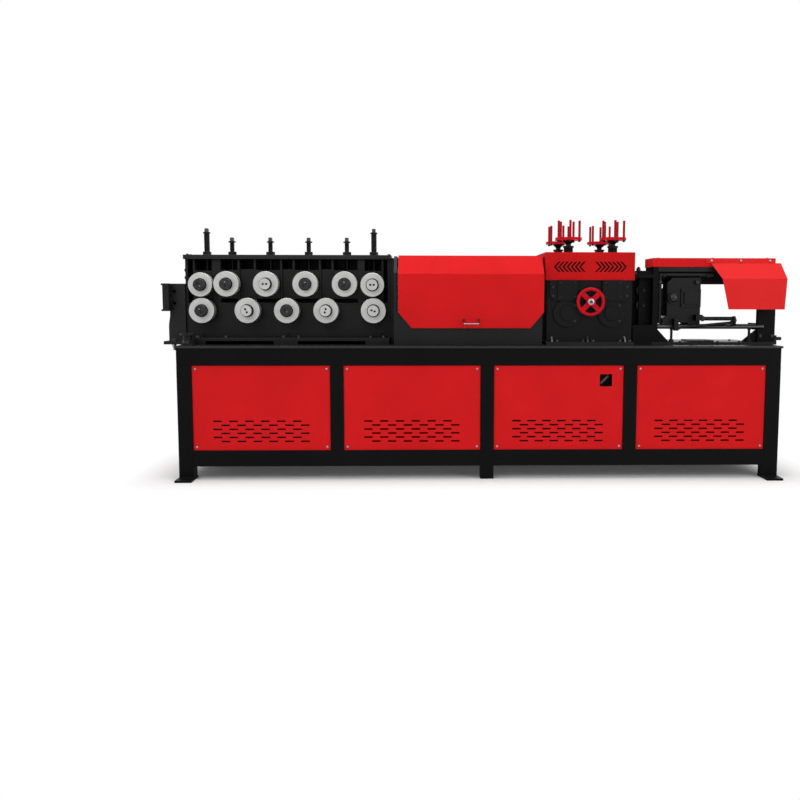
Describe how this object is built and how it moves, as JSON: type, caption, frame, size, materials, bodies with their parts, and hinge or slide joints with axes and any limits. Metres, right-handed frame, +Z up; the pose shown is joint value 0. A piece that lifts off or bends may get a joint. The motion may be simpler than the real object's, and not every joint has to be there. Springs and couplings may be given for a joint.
{
  "type": "rebar straightening and cutting machine",
  "caption": "Floor-standing machine with overhung straightening rollers, a hooded drum, a feed gearbox with pin-studded pressing screws and a sliding cutter on a vented welded base.",
  "frame": {"origin": "middle of the whole outline at floor level", "axes": "+X along the bar from inlet to outlet, +Y from the operator's side to the back, +Z up"},
  "size_m": [2.858, 0.772, 1.164],
  "materials": {
    "red_paint": "satin",
    "black_paint": "satin",
    "ground_steel": "ground",
    "chrome_plate": "polished"
  },
  "bodies": {
    "frame": {"base_posts": "black_paint", "base_rails": "black_paint", "base_cross_members": "black_paint", "foot_plates": "black_paint", "deck_plate": "black_paint", "front_panels": "red_paint", "rear_panels": "red_paint", "end_panels": "red_paint", "lever_box": "black_paint", "straightener_bed": "black_paint", "straightener_walls": "black_paint", "straightener_ribs": "black_paint", "straightener_top_plate": "black_paint", "lower_bearings": "black_paint", "inlet_bracket": "black_paint", "inlet_guide": "black_paint", "clamp_jack": "black_paint", "housing_walls": "black_paint", "bearing_plates": "black_paint", "drum_bearings": "black_paint", "drum": "ground_steel", "hinge_pins": "ground_steel", "gearbox": "black_paint", "bearing_covers": "black_paint", "feed_guard": "red_paint", "press_bosses": "black_paint", "measuring_unit": "black_paint", "cutter_posts": "black_paint", "guide_rods": "ground_steel", "cutter_cover": "red_paint", "outlet_guard": "red_paint", "cutter_bed": "black_paint"},
    "adjuster_1": {"adjuster_1": "black_paint"},
    "upper_roller_1": {"upper_roller_1": "ground_steel"},
    "adjuster_2": {"adjuster_2": "black_paint"},
    "upper_roller_2": {"upper_roller_2": "ground_steel"},
    "adjuster_3": {"adjuster_3": "black_paint"},
    "upper_roller_3": {"upper_roller_3": "ground_steel"},
    "adjuster_4": {"adjuster_4": "black_paint"},
    "upper_roller_4": {"upper_roller_4": "ground_steel"},
    "adjuster_5": {"adjuster_5": "black_paint"},
    "upper_roller_5": {"upper_roller_5": "ground_steel"},
    "adjuster_6": {"adjuster_6": "black_paint"},
    "upper_roller_6": {"upper_roller_6": "ground_steel"},
    "lower_roller_1": {"lower_roller_1": "ground_steel"},
    "lower_roller_2": {"lower_roller_2": "ground_steel"},
    "lower_roller_3": {"lower_roller_3": "ground_steel"},
    "lower_roller_4": {"lower_roller_4": "ground_steel"},
    "lower_roller_5": {"lower_roller_5": "ground_steel"},
    "hood": {"hood": "red_paint", "hood_handle": "chrome_plate"},
    "handwheel": {"handwheel": "red_paint"},
    "press_screw_1": {"press_screw_1": "red_paint"},
    "press_screw_2": {"press_screw_2": "red_paint"},
    "press_screw_3": {"press_screw_3": "red_paint"},
    "press_screw_4": {"press_screw_4": "red_paint"},
    "cutter_head": {"cutter_head": "black_paint", "return_cylinder": "black_paint"}
  },
  "joints": [
    {"name": "adjuster_1_slide", "type": "slide", "parent": "frame", "child": "adjuster_1", "axis": [0, 0, 1], "range_m": [0, 0.02]},
    {"name": "upper_roller_1_spin", "type": "hinge", "parent": "adjuster_1", "child": "upper_roller_1", "pos_m": [-1.254, -0.13, 0.87175], "axis": [0, 1, 0], "continuous": true},
    {"name": "adjuster_2_slide", "type": "slide", "parent": "frame", "child": "adjuster_2", "axis": [0, 0, 1], "range_m": [-0.01, 0.02]},
    {"name": "upper_roller_2_spin", "type": "hinge", "parent": "adjuster_2", "child": "upper_roller_2", "pos_m": [-1.136, -0.13, 0.87475], "axis": [0, 1, 0], "continuous": true},
    {"name": "adjuster_3_slide", "type": "slide", "parent": "frame", "child": "adjuster_3", "axis": [0, 0, 1], "range_m": [-0.01, 0.02]},
    {"name": "upper_roller_3_spin", "type": "hinge", "parent": "adjuster_3", "child": "upper_roller_3", "pos_m": [-0.956, -0.13, 0.87475], "axis": [0, 1, 0], "continuous": true},
    {"name": "adjuster_4_slide", "type": "slide", "parent": "frame", "child": "adjuster_4", "axis": [0, 0, 1], "range_m": [-0.01, 0.02]},
    {"name": "upper_roller_4_spin", "type": "hinge", "parent": "adjuster_4", "child": "upper_roller_4", "pos_m": [-0.776, -0.13, 0.87475], "axis": [0, 1, 0], "continuous": true},
    {"name": "adjuster_5_slide", "type": "slide", "parent": "frame", "child": "adjuster_5", "axis": [0, 0, 1], "range_m": [-0.01, 0.02]},
    {"name": "upper_roller_5_spin", "type": "hinge", "parent": "adjuster_5", "child": "upper_roller_5", "pos_m": [-0.596, -0.13, 0.87475], "axis": [0, 1, 0], "continuous": true},
    {"name": "adjuster_6_slide", "type": "slide", "parent": "frame", "child": "adjuster_6", "axis": [0, 0, 1], "range_m": [0, 0.02]},
    {"name": "upper_roller_6_spin", "type": "hinge", "parent": "adjuster_6", "child": "upper_roller_6", "pos_m": [-0.468, -0.13, 0.87175], "axis": [0, 1, 0], "continuous": true},
    {"name": "lower_roller_1_spin", "type": "hinge", "parent": "frame", "child": "lower_roller_1", "pos_m": [-1.25, -0.13, 0.75325], "axis": [0, 1, 0], "continuous": true},
    {"name": "lower_roller_2_spin", "type": "hinge", "parent": "frame", "child": "lower_roller_2", "pos_m": [-1.042, -0.13, 0.75325], "axis": [0, 1, 0], "continuous": true},
    {"name": "lower_roller_3_spin", "type": "hinge", "parent": "frame", "child": "lower_roller_3", "pos_m": [-0.862, -0.13, 0.75325], "axis": [0, 1, 0], "continuous": true},
    {"name": "lower_roller_4_spin", "type": "hinge", "parent": "frame", "child": "lower_roller_4", "pos_m": [-0.682, -0.13, 0.75325], "axis": [0, 1, 0], "continuous": true},
    {"name": "lower_roller_5_spin", "type": "hinge", "parent": "frame", "child": "lower_roller_5", "pos_m": [-0.464, -0.13, 0.75325], "axis": [0, 1, 0], "continuous": true},
    {"name": "hood_lift", "type": "hinge", "parent": "frame", "child": "hood", "pos_m": [-0.0185, 0.01, 0.963], "axis": [-1, 0, 0], "range_deg": [0, 95]},
    {"name": "handwheel_spin", "type": "hinge", "parent": "frame", "child": "handwheel", "pos_m": [0.524, -0.244, 0.796], "axis": [0, -1, 0], "continuous": true},
    {"name": "press_screw_1_turn", "type": "hinge", "parent": "frame", "child": "press_screw_1", "pos_m": [0.431, -0.165, 1.085], "axis": [0, 0, 1], "continuous": true},
    {"name": "press_screw_2_turn", "type": "hinge", "parent": "frame", "child": "press_screw_2", "pos_m": [0.635, -0.165, 1.085], "axis": [0, 0, 1], "continuous": true},
    {"name": "press_screw_3_turn", "type": "hinge", "parent": "frame", "child": "press_screw_3", "pos_m": [0.431, 0.145, 1.085], "axis": [0, 0, 1], "continuous": true},
    {"name": "press_screw_4_turn", "type": "hinge", "parent": "frame", "child": "press_screw_4", "pos_m": [0.635, 0.145, 1.085], "axis": [0, 0, 1], "continuous": true},
    {"name": "cutter_head_slide", "type": "slide", "parent": "frame", "child": "cutter_head", "axis": [1, 0, 0], "range_m": [0, 0.1]}
  ]
}
